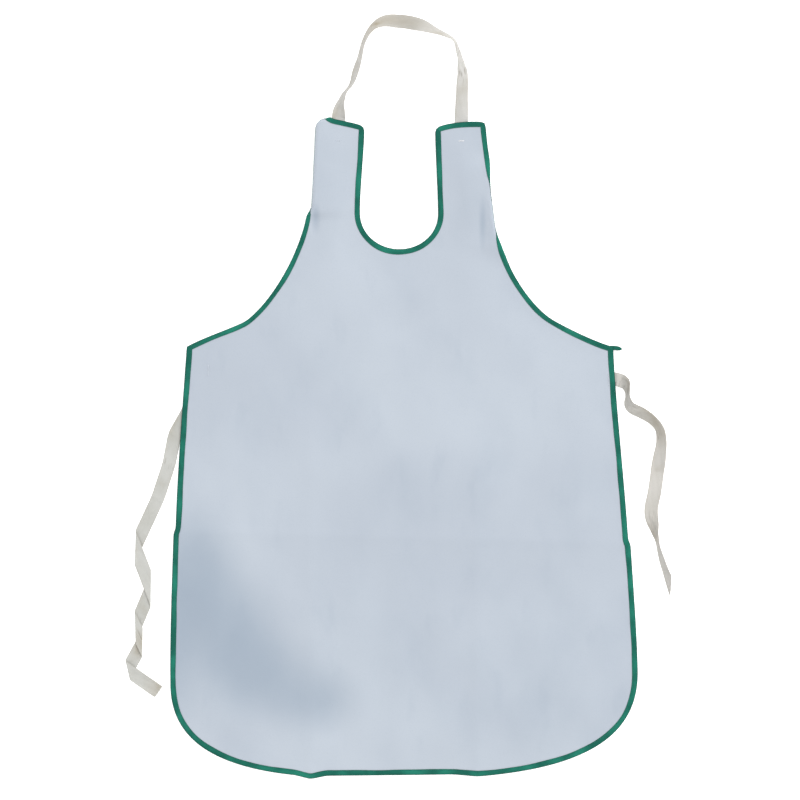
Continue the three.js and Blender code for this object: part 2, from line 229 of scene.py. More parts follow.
RIGHT_TIE_ROUTE = [
    (0.295, 0.102, 0), (0.331, 0.101, 0), (0.337, 0.097, -40), (0.3395, 0.088, -72),
    (0.340, 0.077, -80), (0.345, 0.062, -40), (0.361, 0.0525, -38), (0.377, 0.042, -52),
    (0.388, 0.028, -57), (0.391, 0.012, -48), (0.389, -0.011, -28), (0.386, -0.035, 0),
    (0.382, -0.064, 0), (0.3765, -0.097, -12), (0.380, -0.118, -50), (0.384, -0.136, -78),
    (0.3885, -0.157, -78), (0.3950, -0.178, -70), (0.4020, -0.197, -58), (0.4110, -0.221, -48),
]
# How far along each strap it is crumpled, and how much the right tie's cut end slants.
NECK_CRUMPLES = (0.080, 0.345, 0.372)
RIGHT_TIE_CRUMPLES = (0.050, 0.090, 0.295)
RIGHT_TIE_SLANT = 1.6
# The colours of each strap where it is fresh and where it is aged, its browner places, stains and painted
# shade (how far along, half their length, and how strong), and its creased ones, with painted shade in their
# wrinkles (the same).
STRAP_LOOKS = {
    "neck": (
        (242, 241, 238), (226, 224, 218),
        [(0.215, 0.105, 0.95), (0.315, 0.040, 0.35)],
        [(0.080, 0.022, 0.40), (0.345, 0.014, 0.70), (0.375, 0.026, 0.75)],
    ),
    "left_tie": (
        (233, 234, 230), (219, 220, 214),
        [(0.462, 0.035, 0.90), (0.566, 0.040, 0.70)],
        [(0.168, 0.012, 0.5), (0.455, 0.025, 0.6)],
    ),
    "right_tie": (
        (242, 239, 234), (227, 224, 217),
        [(0.140, 0.050, 0.65), (0.300, 0.040, 0.35)],
        [(0.058, 0.018, 0.6), (0.150, 0.020, 0.5), (0.290, 0.035, 0.4)],
    ),
}
# The left tie starts flat, with a few slight bends: how far along it each one is, and its heading after it.
LEFT_TIE_START = (-0.280, 0.131)
LEFT_TIE_BENDS = [(0, -116.6), (0.085, -119.7), (0.1253, -100.5), (0.169, -108.1), (0.2237, -114.9)]
# Then it is twisted on and on the same way, which pressed flat is five folds: how far along the tie each
# one is, and the angle that it makes with the tie.
LEFT_TIE_FOLDS = [(0.3038, 22.9), (0.3708, 21.9), (0.4328, 24.5), (0.4588, 27.5), (0.5058, 42.0)]
LEFT_TIE_LENGTH = 0.563
FOLD_RADIUS = 1 * MM


# ------------------------ camera, light and floor

CAMERA_HEIGHT = 3.0
VIEW_CENTRE_Y = 0.072
VIEW_WIDTH = 1.2
SENSOR = 36.0
SKY_STRENGTH = 1.20
SUN_STRENGTH = 1.80
FLOOR_HALF = 6.0
FLOOR_GLOW = 0.45  # the floor is a light table, so that it stays pale beside the apron
SUN_SPREAD = math.radians(28)
SUN_TILT = math.radians(42)
SUN_TURN = math.radians(-40)  # from +Y towards +X
# What a white surface that faces up sends to the camera. Colours are divided by it.
EXPOSURE = SKY_STRENGTH + SUN_STRENGTH * math.cos(SUN_TILT) / math.pi


def make_studio():
    scene = bpy.context.scene
    scene.view_settings.view_transform = "Standard"

    camera_data = bpy.data.cameras.new("camera")
    camera_data.sensor_width = SENSOR
    camera_data.lens = SENSOR * CAMERA_HEIGHT / VIEW_WIDTH
    camera = bpy.data.objects.new("camera", camera_data)
    camera.location = (0, VIEW_CENTRE_Y, CAMERA_HEIGHT)
    scene.collection.objects.link(camera)
    scene.camera = camera

    world = bpy.data.worlds.new("sky")
    world.use_nodes = True
    sky = world.node_tree.nodes["Background"]
    sky.inputs["Color"].default_value = (1, 1, 1, 1)
    sky.inputs["Strength"].default_value = SKY_STRENGTH
    scene.world = world

    sun_data = bpy.data.lights.new("window", "SUN")
    sun_data.energy = SUN_STRENGTH
    sun_data.angle = SUN_SPREAD
    sun = bpy.data.objects.new("window", sun_data)
    sun.rotation_euler = (-SUN_TILT, 0, SUN_TURN)
    scene.collection.objects.link(sun)

    corners = [(x * FLOOR_HALF, y * FLOOR_HALF, 0) for x, y in ((-1, -1), (1, -1), (1, 1), (-1, 1))]
    floor_mesh = bpy.data.meshes.new("floor")
    floor_mesh.from_pydata(corners, [], [(0, 1, 2, 3)])
    floor = bpy.data.objects.new("floor", floor_mesh)
    scene.collection.objects.link(floor)
    paper = bpy.data.materials.new("pale_paper")
    paper.use_nodes = True
    shader = paper.node_tree.nodes["Principled BSDF"]
    shader.inputs["Base Color"].default_value = (0.92, 0.92, 0.92, 1)
    shader.inputs["Roughness"].default_value = 0.95
    shader.inputs["Specular IOR Level"].default_value = 0
    shader.inputs["Emission Color"].default_value = (1, 1, 1, 1)
    shader.inputs["Emission Strength"].default_value = FLOOR_GLOW
    floor_mesh.materials.append(paper)


# ------------------------ lines of points

def smoothstep(x):
    """From 0 up to 1 as x goes from 0 to 1, with soft ends."""
    x = np.clip(x, 0, 1)
    return x * x * (3 - 2 * x)


def distances(points):
    """How far along a line of points each one is."""
    return np.concatenate([[0], np.cumsum(np.linalg.norm(np.diff(points, axis=0), axis=1))])


def pick(at, along, table):
    """The row of a table at each place, where its own rows are at the places along."""
    return np.stack([np.interp(at, along, column) for column in table.T], axis=-1)


def paired(first, second):
    """Two lots of numbers side by side, once they are spread to the same shape."""
    return np.stack(np.broadcast_arrays(first, second), axis=-1)


def unit(vectors):
    """Vectors made one long."""
    return vectors / np.maximum(np.linalg.norm(vectors, axis=-1, keepdims=True), 1e-9)


def smoothed(values, times):
    """Values with each one but the first and last blended with its neighbours, many times over."""
    for _ in range(times):
        values[1:-1] = values[1:-1] / 2 + (values[:-2] + values[2:]) / 4
    return values


def spaced(points, step):
    """Points along a line of points, with nearly this step between them."""
    along = distances(points)
    return pick(np.linspace(0, along[-1], round(along[-1] / step) + 1), along, points)


def smooth_through(points, step):
    """Points along a smooth curve through the given ones, which may have other columns after X and Y."""
    points = np.array(points, float)
    knots = distances(points[:, :2])
    slopes = np.gradient(points, knots, axis=0)
    at = np.linspace(0, knots[-1], round(knots[-1] / step) + 1)
    k = np.clip(np.searchsorted(knots, at, "right") - 1, 0, len(knots) - 2)
    width = np.diff(knots)[k][:, None]
    t = (at - knots[k])[:, None] / width
    start = (1 + 2 * t) * (1 - t) ** 2 * points[k] + t * (1 - t) ** 2 * width * slopes[k]
    end = t**2 * (3 - 2 * t) * points[k + 1] + t**2 * (t - 1) * width * slopes[k + 1]
    return start + end


# ------------------------ the flat pattern

def outline(run):
    """A run's points, close together, with its corners slightly rounded and its ends kept."""
    start = np.array(run[0])
    points = [start[None]]
    for stretch in run[1:]:
        handles = np.array(stretch, float).reshape(-1, 2)
        end = handles[-1]
        t = np.linspace(0, 1, 80)[1:, None]
        if len(handles) == 1:
            points.append(start + (end - start) * t)
        else:
            curve = (1 - t) ** 3 * start + 3 * (1 - t) ** 2 * t * handles[0]
            points.append(curve + 3 * (1 - t) * t**2 * handles[1] + t**3 * end)
        start = end
    points = smoothed(spaced(np.concatenate(points), EDGE_STEP), 6)
    # The packing fold across the apron leaves a small step in its sides.
    below = CREASE_ACROSS[0] + CREASE_ACROSS[1] * points[:, 0] - points[:, 1]
    on_side = smoothstep((np.abs(points[:, 0]) - 0.30) / 0.02)
    step = np.tanh(below / (4 * MM)) * np.exp(-np.abs(below) / 0.06)
    points[:, 0] += np.sign(points[:, 0]) * on_side * KINK * step
    return points


class Edge:
    """One run of the apron's edge. Places near it are given by how far along it and how far in they are."""

    def __init__(self, run):
        self.points = outline(run)
        self.along = distances(self.points)
        self.length = self.along[-1]
        self.tangents = unit(np.gradient(self.points, self.along, axis=0))
        self.start_mitre = self.end_mitre = 0

    def inward(self, s):
        tangent = pick(s, self.along, self.tangents)
        return paired(-tangent[..., 1], tangent[..., 0])

    def at(self, s, inset):
        return pick(s, self.along, self.points) + self.inward(s) * np.asarray(inset)[..., None]

    def trimmed(self, share, inset):
        """How far along a share of the run is, once its ends are cut back to the mitres at that inset."""
        start = inset * self.start_mitre
        end = self.length - inset * self.end_mitre
        return start + share * (end - start)

    def row(self, inset, step):
        """Points along the run at an inset, nearly a step apart, up to the one before its end."""
        share = np.linspace(0, 1, round(self.length / step) + 1)[:-1]
        return self.at(self.trimmed(share, inset), inset)


EDGES = {name: Edge(run) for name, run in RUNS.items()}


def edge_pairs():
    """Each run with the one after it."""
    edges = list(EDGES.values())
    return zip(edges, edges[1:] + edges[:1])


for before, after in edge_pairs():
    a, b = before.tangents[-1], after.tangents[0]
    half_turn = math.atan2(a[0] * b[1] - a[1] * b[0], a @ b) / 2
    before.end_mitre = after.start_mitre = math.tan(half_turn)


def ring(inset):
    """The apron's outline, moved in by inset."""
    return np.concatenate([edge.row(inset, EDGE_STEP) for edge in EDGES.values()])


OUTLINE = ring(0)


def depth_inside(points):
    """How far inside the apron's outline points are, or how far outside as a negative number."""
    ends = np.roll(OUTLINE, -1, axis=0)
    rise = ends[:, 1] - OUTLINE[:, 1]
    rise = np.where(rise == 0, 1e-12, rise)
    depths = []
    for part in np.array_split(points, max(1, len(points) // 2000)):
        x, y = part[:, :1], part[:, 1:2]
        nearest = np.sqrt(((x - OUTLINE[:, 0]) ** 2 + (y - OUTLINE[:, 1]) ** 2).min(axis=1))
        crossed = (OUTLINE[:, 1] > y) != (ends[:, 1] > y)
        beyond = x < OUTLINE[:, 0] + (y - OUTLINE[:, 1]) * (ends[:, 0] - OUTLINE[:, 0]) / rise
        inside = (crossed & beyond).sum(axis=1) % 2 == 1
        depths.append(np.where(inside, nearest, -nearest))
    return np.concatenate(depths)


# ------------------------ how the apron lies

class Curl:
    """An armhole's edge that is rolled under along X, by a width that changes along Y. Above a corner's
    centre the roll turns the corner with the edge, and fades out along the shoulder."""

    def __init__(self, side, edge, radius, width, corner=None):
        top = edge.points[:, 1] > CURL_FOOT
        order = np.argsort(edge.points[top, 1])
        self.ys, self.xs = edge.points[top, 1][order], edge.points[top, 0][order]
        self.side, self.radius, self.width, self.corner = side, radius, width, corner

    def inset(self, x, y):
        return self.side * (np.interp(y, self.ys, self.xs) - x)

    def lift(self, x, y):
        """How far the roll under the edge holds the cloth up."""
        width = self.width(y)
        turn = np.minimum(width / self.radius, math.pi)
        fade = np.exp(-(np.maximum(self.inset(x, y) - width, 0) / 0.04) ** 2)
        return self.radius * (1 - np.cos(turn)) * fade

    def past(self, x, y):
        """How far points are past the line where the roll starts, and which way that is."""
        past = np.where(y > CURL_FOOT, self.width(y) - self.inset(x, y), -1)
        out = np.stack([self.side + 0 * x, 0 * x])
        if self.corner:
            centre_x, centre_y = self.corner
            start_x = np.interp(centre_y, self.ys, self.xs) - self.side * self.width(centre_y)
            from_centre = np.stack([self.side * np.maximum(self.side * (x - centre_x), 0), y - centre_y])
            far = np.maximum(np.hypot(*from_centre), 1e-9)
            above = y > centre_y
            beyond = np.maximum(-self.side * (x - centre_x), 0)
            past = np.where(above, far - abs(centre_x - start_x) - CURL_FADE * beyond, past)
            out = np.where(above, from_centre / far, out)
        return past, out

    def roll(self, x, y, height):
        """The way that points at a height from the middle of the apron move along X, Y and Z."""
        past, out = self.past(x, y)
        turn = np.clip(past / self.radius, 0, math.pi)
        under = np.maximum(past - math.pi * self.radius, 0)
        outward = (self.radius + height) * np.sin(turn) - under - np.maximum(past, 0)
        return np.stack([*(out * outward), -(self.radius + height) * (1 - np.cos(turn))])


def left_width(y):
    """How much of the left armhole's edge is rolled under, at each place along Y."""
    return LEFT_ROLLED * (0.65 * smoothstep((y - 0.341) / 0.022) + 0.35 * smoothstep((y - 0.270) / 0.070))


def right_width(y):
    """The same on the right, where the roll ends below the shoulder."""
    return RIGHT_ROLLED * smoothstep((y - 0.262) / 0.075) * smoothstep((0.462 - y) / 0.085)


CURLS = [
    Curl(LEFT, EDGES["left_armhole"], LEFT_CURL, left_width, LEFT_CORNER),
    Curl(RIGHT, EDGES["right_armhole"], RIGHT_CURL, right_width),
]


def wave(turns):
    """From 0 to 1 and back, once in each turn."""
    return (1 + np.cos(2 * math.pi * turns)) / 2


def waves(table, x, y):
    return sum(height * wave(x * along_x + y * along_y + start) for along_x, along_y, start, height in table)


def crease(distance):
    """A packing fold that has not quite flattened: a narrow ridge on a wide low one."""
    narrow = np.exp(-np.sqrt(distance**2 + (2 * MM) ** 2) / (7 * MM))
    wide = np.maximum(1 - np.abs(distance) / 0.045, 0)
    return 0.7 * MM * narrow + 0.9 * MM * wide


def hill(x, y, middle_x, middle_y, half_x, half_y, height):
    """The height of a rounded hill at places along X and Y."""
    return height * np.exp(-(((x - middle_x) / half_x) ** 2) - ((y - middle_y) / half_y) ** 2)


def rise(x, y):
    """How far the apron stands off the floor, which it nearly touches all round its edge."""
    depth = depth_inside(paired(x, y))
    pleats = wave(x / PLEAT_PITCH) * hill(x, y, *PLEATS)
    creases = sum(crease(x - fold) * smoothstep((0.12 - y) / 0.2) for fold in CREASES_UP)
    creases = creases + crease(y - CREASE_ACROSS[0] - CREASE_ACROSS[1] * x)
    puckers = 0.22 * MM * wave(x / 0.019 + y / 0.023) * np.exp(-((depth - 9 * MM) / (6 * MM)) ** 2)
    # The tape holds its edge nearly flat, so each of these fades out at its own distance from the edge.
    field = (hill(x, y, *SWELL) + waves(WAVES, x, y) + pleats) * smoothstep(depth / 0.075)
    field += creases * smoothstep(depth / 0.02 + 0.35)
    field += waves(EDGE_WAVES, x, y) * smoothstep(depth / 0.02 + 0.6) + puckers
    field += sum(curl.lift(x, y) for curl in CURLS) - sum(hill(x, y, *dent) for dent in DENTS)
    return np.maximum(field, 0) * smoothstep(1 + depth / 0.022)


def rounding(x, y):
    """How far the turned corners of the shoulders pull in, as a move along X and Y."""
    move = np.zeros((2, *np.shape(x)))
    for before, after in edge_pairs():
        corner = after.points[0]
        if corner[1] > SHOULDER_Y and before.end_mitre > 0.5:
            inwards = before.inward(before.length) + after.inward(0)
            near = np.exp(-((x - corner[0]) ** 2 + (y - corner[1]) ** 2) / CORNER_REACH**2)
            move += CORNER_PULL * near * unit(inwards)[:, None]
    return move


def lay(points):
    """Where points of the flat apron go when it lies on the floor."""
    points = np.asarray(points, float)
    x, y, z = points.T
    moves = sum(curl.roll(x, y, z - MIDDLE) for curl in CURLS)
    moves[:2] += rounding(x, y)
    moves[2] += rise(x, y)
    return points + moves.T


# ------------------------ meshes

def combine(parts):
    """Several bodies as one. Each is its points, its faces, and where each point is on the flat cloth."""
    points, faces, flat = [], [], []
    start = 0
    for part_points, part_faces, part_flat in parts:
        points.append(part_points)
        flat.append(part_flat)
        faces.extend([[corner + start for corner in face] for face in part_faces])
        start += len(part_points)
    return np.concatenate(points), faces, np.concatenate(flat)


def add_piece(name, body):
    """A closed piece, with its faces pointing out and its flat places as a UV map in metres."""
    points, faces, flat = body
    mesh = bpy.data.meshes.new(name)
    mesh.from_pydata([tuple(p) for p in points], [], [tuple(face) for face in faces])
    work = bmesh.new()
    work.from_mesh(mesh)
    bmesh.ops.recalc_face_normals(work, faces=work.faces)
    work.to_mesh(mesh)
    work.free()
    corners = np.zeros(len(mesh.loops), dtype=int)
    mesh.loops.foreach_get("vertex_index", corners)
    layer = mesh.uv_layers.new(name="Flat")
    layer.data.foreach_set("uv", np.asarray(flat, np.float32)[corners].ravel())
    mesh.shade_smooth()
    mesh.set_sharp_from_angle(angle=SHARP_ANGLE)
    piece = bpy.data.objects.new(name, mesh)
    bpy.context.scene.collection.objects.link(piece)
    return piece


def grid_faces(rows, columns, first=0):
    """The faces of a grid of points, the first of which has this number."""
    index = first + np.arange(rows * columns).reshape(rows, columns)
    corners = [index[:-1, :-1], index[1:, :-1], index[1:, 1:], index[:-1, 1:]]
    return np.stack(corners, axis=-1).reshape(-1, 4).tolist()


def slab(lower, upper, flat):
    """A thin closed body between two grids of points, which share their flat places."""
    rows, columns = lower.shape[:2]
    count = rows * columns
    index = np.arange(count).reshape(rows, columns)
    border = np.concatenate([index[0], index[1:, -1], index[-1, -2::-1], index[-2:0:-1, 0]])
    faces = grid_faces(rows, columns) + grid_faces(rows, columns, count)
    for a, b in zip(border, np.roll(border, -1)):
        faces.append([int(a), int(b), int(b) + count, int(a) + count])
    points = np.concatenate([lower.reshape(-1, 3), upper.reshape(-1, 3)])
    places = flat.reshape(-1, 2)
    return points, faces, np.concatenate([places, places])


def tube_faces(rows, columns, copies=1):
    """The faces of a tube through rings of points, along it and at its ends, and of copies of it."""
    index = np.arange(rows * columns).reshape(rows, columns)
    turned = np.roll(index, -1, axis=1)
    quads = np.stack([index[:-1], index[1:], turned[1:], turned[:-1]], axis=-1).reshape(-1, 4)
    starts = index.size * np.arange(copies)[:, None, None]
    ends = index[[0, -1]] + starts
    return (quads + starts).reshape(-1, 4).tolist() + ends.reshape(-1, columns).tolist()


def tube(rings, flat):
    """A closed body through rings of points, with a flat face at each end."""
    return rings.reshape(-1, 3), tube_faces(*rings.shape[:2]), flat.reshape(-1, 2)


def round_angles(sides):
    """Equal steps once round."""
    return np.linspace(0, 2 * math.pi, sides, endpoint=False)


def thread(path, radius, sides=5):
    """A round thread along a path."""
    along = unit(np.gradient(path, axis=0))
    side = unit(np.cross(along, (0, 0, 1.0)))
    up = np.cross(side, along)
    turn = round_angles(sides)
    spokes = side[:, None] * np.cos(turn)[:, None] + up[:, None] * np.sin(turn)[:, None]
    flat = paired(distances(path)[:, None], radius * turn)
    return tube(path[:, None] + radius * spokes, flat)


def post(path, radius, sides=5):
    """A round thread that stands upright."""
    turn = round_angles(sides)
    around = np.stack([np.cos(turn), np.sin(turn), 0 * turn], axis=1) * radius
    flat = paired(path[:, 2:], radius * turn)
    return tube(path[:, None] + around, flat)


# ------------------------ layers

def inner_rings(name):
    """How far in from a run's edge the layers have rows of points, which are closest where it is rolled."""
    if name in ("left_armhole", "left_shoulder", "right_armhole"):
        return np.arange(3.6, 24, 1.4) * MM
    return np.array([4, 6, 8, 10.5, 13.5]) * MM


def layer_points():
    """Points inside the apron: rows that follow its edge, and a grid of triangles in the middle."""
    rows = [edge.row(inset, 4 * MM) for name, edge in EDGES.items() for inset in inner_rings(name)]
    low, high = OUTLINE.min(axis=0), OUTLINE.max(axis=0)
    grid = []
    for row, y in enumerate(np.arange(low[1], high[1], GRID_STEP * math.sqrt(3) / 2)):
        x = np.arange(low[0] + GRID_STEP / 2 * (row % 2), high[0], GRID_STEP)
        grid.append(paired(x, y))
    grid = np.concatenate(grid)
    grid = grid[depth_inside(grid) > 16 * MM]
    for name, edge in EDGES.items():
        reach = inner_rings(name)[-1] + 3 * MM
        away = np.sqrt(((grid[:, None] - edge.points[None, ::3]) ** 2).sum(axis=2).min(axis=1))
        grid = grid[away > reach]
    return np.concatenate(rows + [grid])


LAYER_POINTS = layer_points()


def cloth_layer(inset, low, high):
    """One layer of the apron, cut at an inset from its edge, between two heights."""
    border = ring(inset)
    points = np.concatenate([border, LAYER_POINTS])
    count = len(border)
    loop = [(i, (i + 1) % count) for i in range(count)]
    found = delaunay_2d_cdt([Vector(p) for p in points], loop, [list(range(count))], 1, 1e-6)
    flat = np.array([tuple(p) for p in found[0]])
    faces = [list(face) for face in found[2]]
    sides = dict.fromkeys(side for a, b, c in faces for side in ((a, b), (b, c), (c, a)))
    top = len(flat)
    walls = [[a, b, b + top, a + top] for a, b in sides if (b, a) not in sides]
    every = faces + [[c + top for c in face] for face in faces] + walls
    lower = np.column_stack([flat, np.full(top, low)])
    upper = np.column_stack([flat, np.full(top, high)])
    return lay(np.concatenate([lower, upper])), every, np.concatenate([flat, flat])


# ------------------------ binding and stitches

def leg_height(inset, side):
    """The outside of the folded tape, above or below the middle: it swells between the fold and the seam."""
    swell = 0.30 * MM * np.exp(-(((inset - 3.4 * MM) / (1.6 * MM)) ** 2))
    seam = 0.16 * MM * np.exp(-(((inset - SEAM_INSET) / (0.5 * MM)) ** 2))
    return side * (TAPE_OUTER + (swell if side > 0 else 0) - seam)


def tape_section():
    """The folded tape cut across: each corner's inset, its height, and how far round the tape it is."""
    stations = np.array([8.0, 7.6, 7.0, 6.5, 6.0, 5.2, 4.3, 3.4, 2.7]) * MM
    arc = np.radians(np.linspace(90, 270, 9))
    outer = [(inset, leg_height(inset, 1)) for inset in stations]
    outer += [(TAPE_OUTER * (1 + np.cos(a)), TAPE_OUTER * np.sin(a)) for a in arc]
    outer += [(inset, leg_height(inset, -1)) for inset in stations[::-1]]
    inner = [(stations[0], -TAPE_INNER), (stations[4], -TAPE_INNER)]
    inner += [(TAPE_OUTER + TAPE_INNER * np.cos(a), TAPE_INNER * np.sin(a)) for a in arc[::-2]]
    inner += [(stations[4], TAPE_INNER), (stations[0], TAPE_INNER)]
    outer, inner = np.array(outer), np.array(inner)
    across = distances(outer)
    inner_across = across[-1] * np.linspace(1, 0, len(inner))
    return np.concatenate([outer, inner]), np.concatenate([across, inner_across])


def tape_waver(s, width):
    """How much wider or narrower the tape shows along a run."""
    return width + 0.055 * np.sin(s / 0.021) * np.sin(s / 0.067 + 1) + 0.02 * np.sin(s / 0.009)


def tape(edge, width):
    """The tape along a run, in which the width is how much of it shows."""
    section, across = tape_section()
    share = np.linspace(0, 1, round(edge.length / EDGE_STEP) + 1)
    inset = section[:, 0]
    leg = smoothstep((inset - 4 * MM) / (4 * MM))
    s = edge.trimmed(share[:, None], inset)
    spots = edge.at(s, inset * (1 + (tape_waver(s, width) - 1) * leg))
    height = np.broadcast_to(MIDDLE + section[:, 1], s.shape)
    rings = np.concatenate([spots, height[..., None]], axis=2)
    return tube(lay(rings.reshape(-1, 3)).reshape(rings.shape), paired(s, across))


def tape_tail():
    """The loose end of tape: a flattened roll with a rounded tip, slightly twisted."""
    path = smooth_through(TAIL_ROUTE, 1.2 * MM)
    share = np.linspace(0, 1, len(path))
    narrowed = np.clip(1 - (np.maximum(share - 0.62, 0) / 0.39) ** 2, 0.02, 1)
    thinned = np.clip(1 - (np.maximum(share - 0.80, 0) / 0.22) ** 2, 0.05, 1)
    along = unit(np.gradient(path, axis=0))
    across = paired(along[:, 1], -along[:, 0])
    turn = round_angles(16)
    twist = TAIL_TWIST * share[:, None]
    wide = TAIL_HALF_WIDTH * np.sqrt(narrowed)[:, None] * np.cos(turn)
    thick = TAIL_HALF_THICK * np.sqrt(thinned)[:, None] * np.sin(turn) * (1 + 0.25 * np.cos(turn) ** 2)
    turned = wide * np.cos(twist) - thick * np.sin(twist)
    height = MIDDLE + wide * np.sin(twist) + thick * np.cos(twist)
    spots = path[:, None] + across[:, None] * turned[..., None]
    flat = paired(TAIL_LENGTH * share[:, None], 4.6 * MM + wide)
    return tube(np.concatenate([spots, height[..., None]], axis=2), flat)


def stitches(edge, width, side):
    """A row of stitches on the front of the tape, or on its back."""
    count = round(edge.trimmed(1, SEAM_INSET) / STITCH_PITCH) - 1
    shares = (np.arange(count) + 0.5) / count
    centres = edge.trimmed(shares, SEAM_INSET)
    reach = np.array([-1, -0.8, -0.4, 0.4, 0.8, 1])[:, None] * STITCH_LENGTH / 2
    girth = np.array([0.3, 0.8, 1, 1, 0.8, 0.3])[:, None] * THREAD_RADIUS
    dip = np.array([0.22, 0.08, 0, 0, 0.08, 0.22])[:, None] * MM
    turn = round_angles(6)
    s = centres[:, None, None] + reach + 0 * turn
    inset = (SEAM_INSET * tape_waver(centres, width))[:, None, None] + girth * np.cos(turn)
    height = leg_height(SEAM_INSET, side) + side * (THREAD_RADIUS * 0.7 - dip)
    height = MIDDLE + height + girth * np.sin(turn) + 0 * s
    points = lay(np.concatenate([edge.at(s, inset), height[..., None]], axis=3).reshape(-1, 3))
    flat = paired(s, turn * THREAD_RADIUS).reshape(-1, 2)
    return points, tube_faces(len(reach), len(turn), count), flat


def bar_tack(x, y, length, across):
    """A bar of zigzag stitches on the front and on the back, with the threads that join them."""
    top, bottom = FRONT[1].z + 0.15 * MM, 0.2 * MM
    step = np.linspace(-length / 2, length / 2, round(12 * length / TACK_PITCH))
    swing = TACK_WIDTH / 2 * np.sin(2 * math.pi * step / TACK_PITCH)

    def placed(u, v, z):
        u, v, z = np.broadcast_arrays(u, v, z)
        return lay(np.stack([x + (u if across else v), y + (v if across else u), z], axis=1))

    bodies = [thread(placed(step, swing, z), TACK_THREAD_RADIUS) for z in (top, bottom)]
    for u in np.linspace(-length / 2, length / 2, 9):
        bodies.append(post(placed(u, 0, np.linspace(bottom, top, 5)), TACK_THREAD_RADIUS))
    return combine(bodies)


# ------------------------ webbing

def settle(points):
    """Webbing behind the apron rises with it."""
    points = points.copy()
    points[:, 2] += rise(points[:, 0], points[:, 1])
    return points


def swept(route, ripple, crumples):
    """Webbing along a route, as its length and a function from flat places to where they lie. It lies flat
    behind the apron, and is crumpled at each of the places given along it. The ripple is the turn, in
    radians, at which its ripples start."""
    dense = smooth_through(route, 1 * MM)
    covered = depth_inside(dense[:, :2])
    tilt = np.radians(smoothed(dense[:, 2], 14)) * smoothstep((-0.5 * MM - covered) / (7 * MM))
    middle = np.column_stack([dense[:, :2], STRAP_MIDDLE + WEB / 2 * np.abs(np.sin(tilt))])
    length = distances(middle)
    along = unit(np.gradient(middle, length, axis=0))
    across = unit(np.stack([along[:, 1], -along[:, 0], 0 * tilt], axis=1))
    up = np.cross(across, along)
    wide = across * np.cos(tilt)[:, None] + up * np.sin(tilt)[:, None]
    thick = np.cross(wide, along)

    def place(u, v, height):
        free = smoothstep(-np.interp(u, length, covered) / 0.02)
        side = 2 * v / WEB
        bend = 0.9 * MM * (side**2 - 0.4) * np.sin(u / 0.043 + ripple)
        bend += 0.35 * MM * side * np.sin(u / 0.011 + ripple) + 0.16 * MM * np.sin(side * 7 + u / 0.006)
        for spot in crumples:
            near = MM * np.exp(-(((u - spot) / (13 * MM)) ** 2))
            bend += near * 0.55 * np.sin(side * 5.5 + (u - spot) / 0.0042)
            bend += near * 0.30 * np.sin(side * 11 + ripple)
        points = pick(u, length, middle) + pick(u, length, wide) * v[:, None]
        points += pick(u, length, thick) * (height + bend * free)[:, None]
        points[:, 2] = np.maximum(points[:, 2], 0.15 * MM + np.maximum(height, 0))
        return settle(points)

    return length[-1], place


def fold_left_tie(u, v, height):
    """Where flat places of the left tie are once it is folded: along, across and above it. The last fold is
    made first, and each one before it then turns over all that is past it."""
    arc = math.pi * FOLD_RADIUS
    x, y, z = u.copy(), v.copy(), height.copy()
    for start, angle in reversed(LEFT_TIE_FOLDS):
        cos, sin = math.cos(math.radians(angle)), math.sin(math.radians(angle))
        # How far places are past the line where this fold starts, when flat and as they now are.
        beyond = (u - start) * sin - v * cos + arc / 2
        distance = (x - start) * sin - y * cos + arc / 2
        along = (x - start) * cos + y * sin
        # On the fold they go round its arc, and past it they are turned over.
        turn = np.clip(beyond / FOLD_RADIUS, 0, math.pi)
        bent = (FOLD_RADIUS - z) * np.sin(turn) - np.maximum(distance - arc, 0)
        bent_z = FOLD_RADIUS - (FOLD_RADIUS - z) * np.cos(turn)
        over = beyond >= arc
        bent = np.where(over, arc - distance, bent) - arc / 2
        bent_z = np.where(over, 2 * FOLD_RADIUS - z, bent_z)
        moved = beyond > 0
        x = np.where(moved, start + along * cos + bent * sin, x)
        y = np.where(moved, along * sin - bent * cos, y)
        z = np.where(moved, bent_z, z)
    return x, y, z


def left_tie():
    """The left tie, as its length and a function from flat places to where they lie."""
    step = 0.5 * MM
    s = np.arange(0, LEFT_TIE_LENGTH, step)
    heading = np.full(len(s), LEFT_TIE_BENDS[0][1])
    for (_, before), (bend, after) in zip(LEFT_TIE_BENDS, LEFT_TIE_BENDS[1:]):
        heading = heading + (after - before) * smoothstep((s - bend) / 0.024 + 0.5)
    heading = np.radians(heading)
    steps = paired(np.cos(heading), np.sin(heading)) * step
    middle = LEFT_TIE_START + np.cumsum(steps, axis=0)

    def place(u, v, height):
        x, y, z = fold_left_tie(u, v, height)
        # Places that a fold has put past either end of the tie go straight on from it.
        within = np.clip(x, 0, s[-1])
        angle = np.interp(within, s, heading)
        ahead = paired(np.cos(angle), np.sin(angle))
        left = paired(-ahead[:, 1], ahead[:, 0])
        spot = pick(within, s, middle) + ahead * (x - within)[:, None] + left * y[:, None]
        free = smoothstep((u - 0.17) / 0.04)
        side = 2 * v / WEB
        bend = 0.5 * MM * side**2 * (1 + np.sin(u / 0.037)) * free
        for bend_at, _ in LEFT_TIE_BENDS[1:]:
            ridge = np.exp(-np.abs(u - bend_at - 2 * MM * side) / (2.2 * MM))
            bend += 0.9 * MM * ridge * smoothstep((u - 0.10) / 0.02)
        bend += 0.22 * MM * (1 + np.sin(side * 6 + u / 0.008) * np.sin(u / 0.023)) * free
        return settle(np.column_stack([spot, STRAP_MIDDLE + z + bend]))

    return LEFT_TIE_LENGTH, place


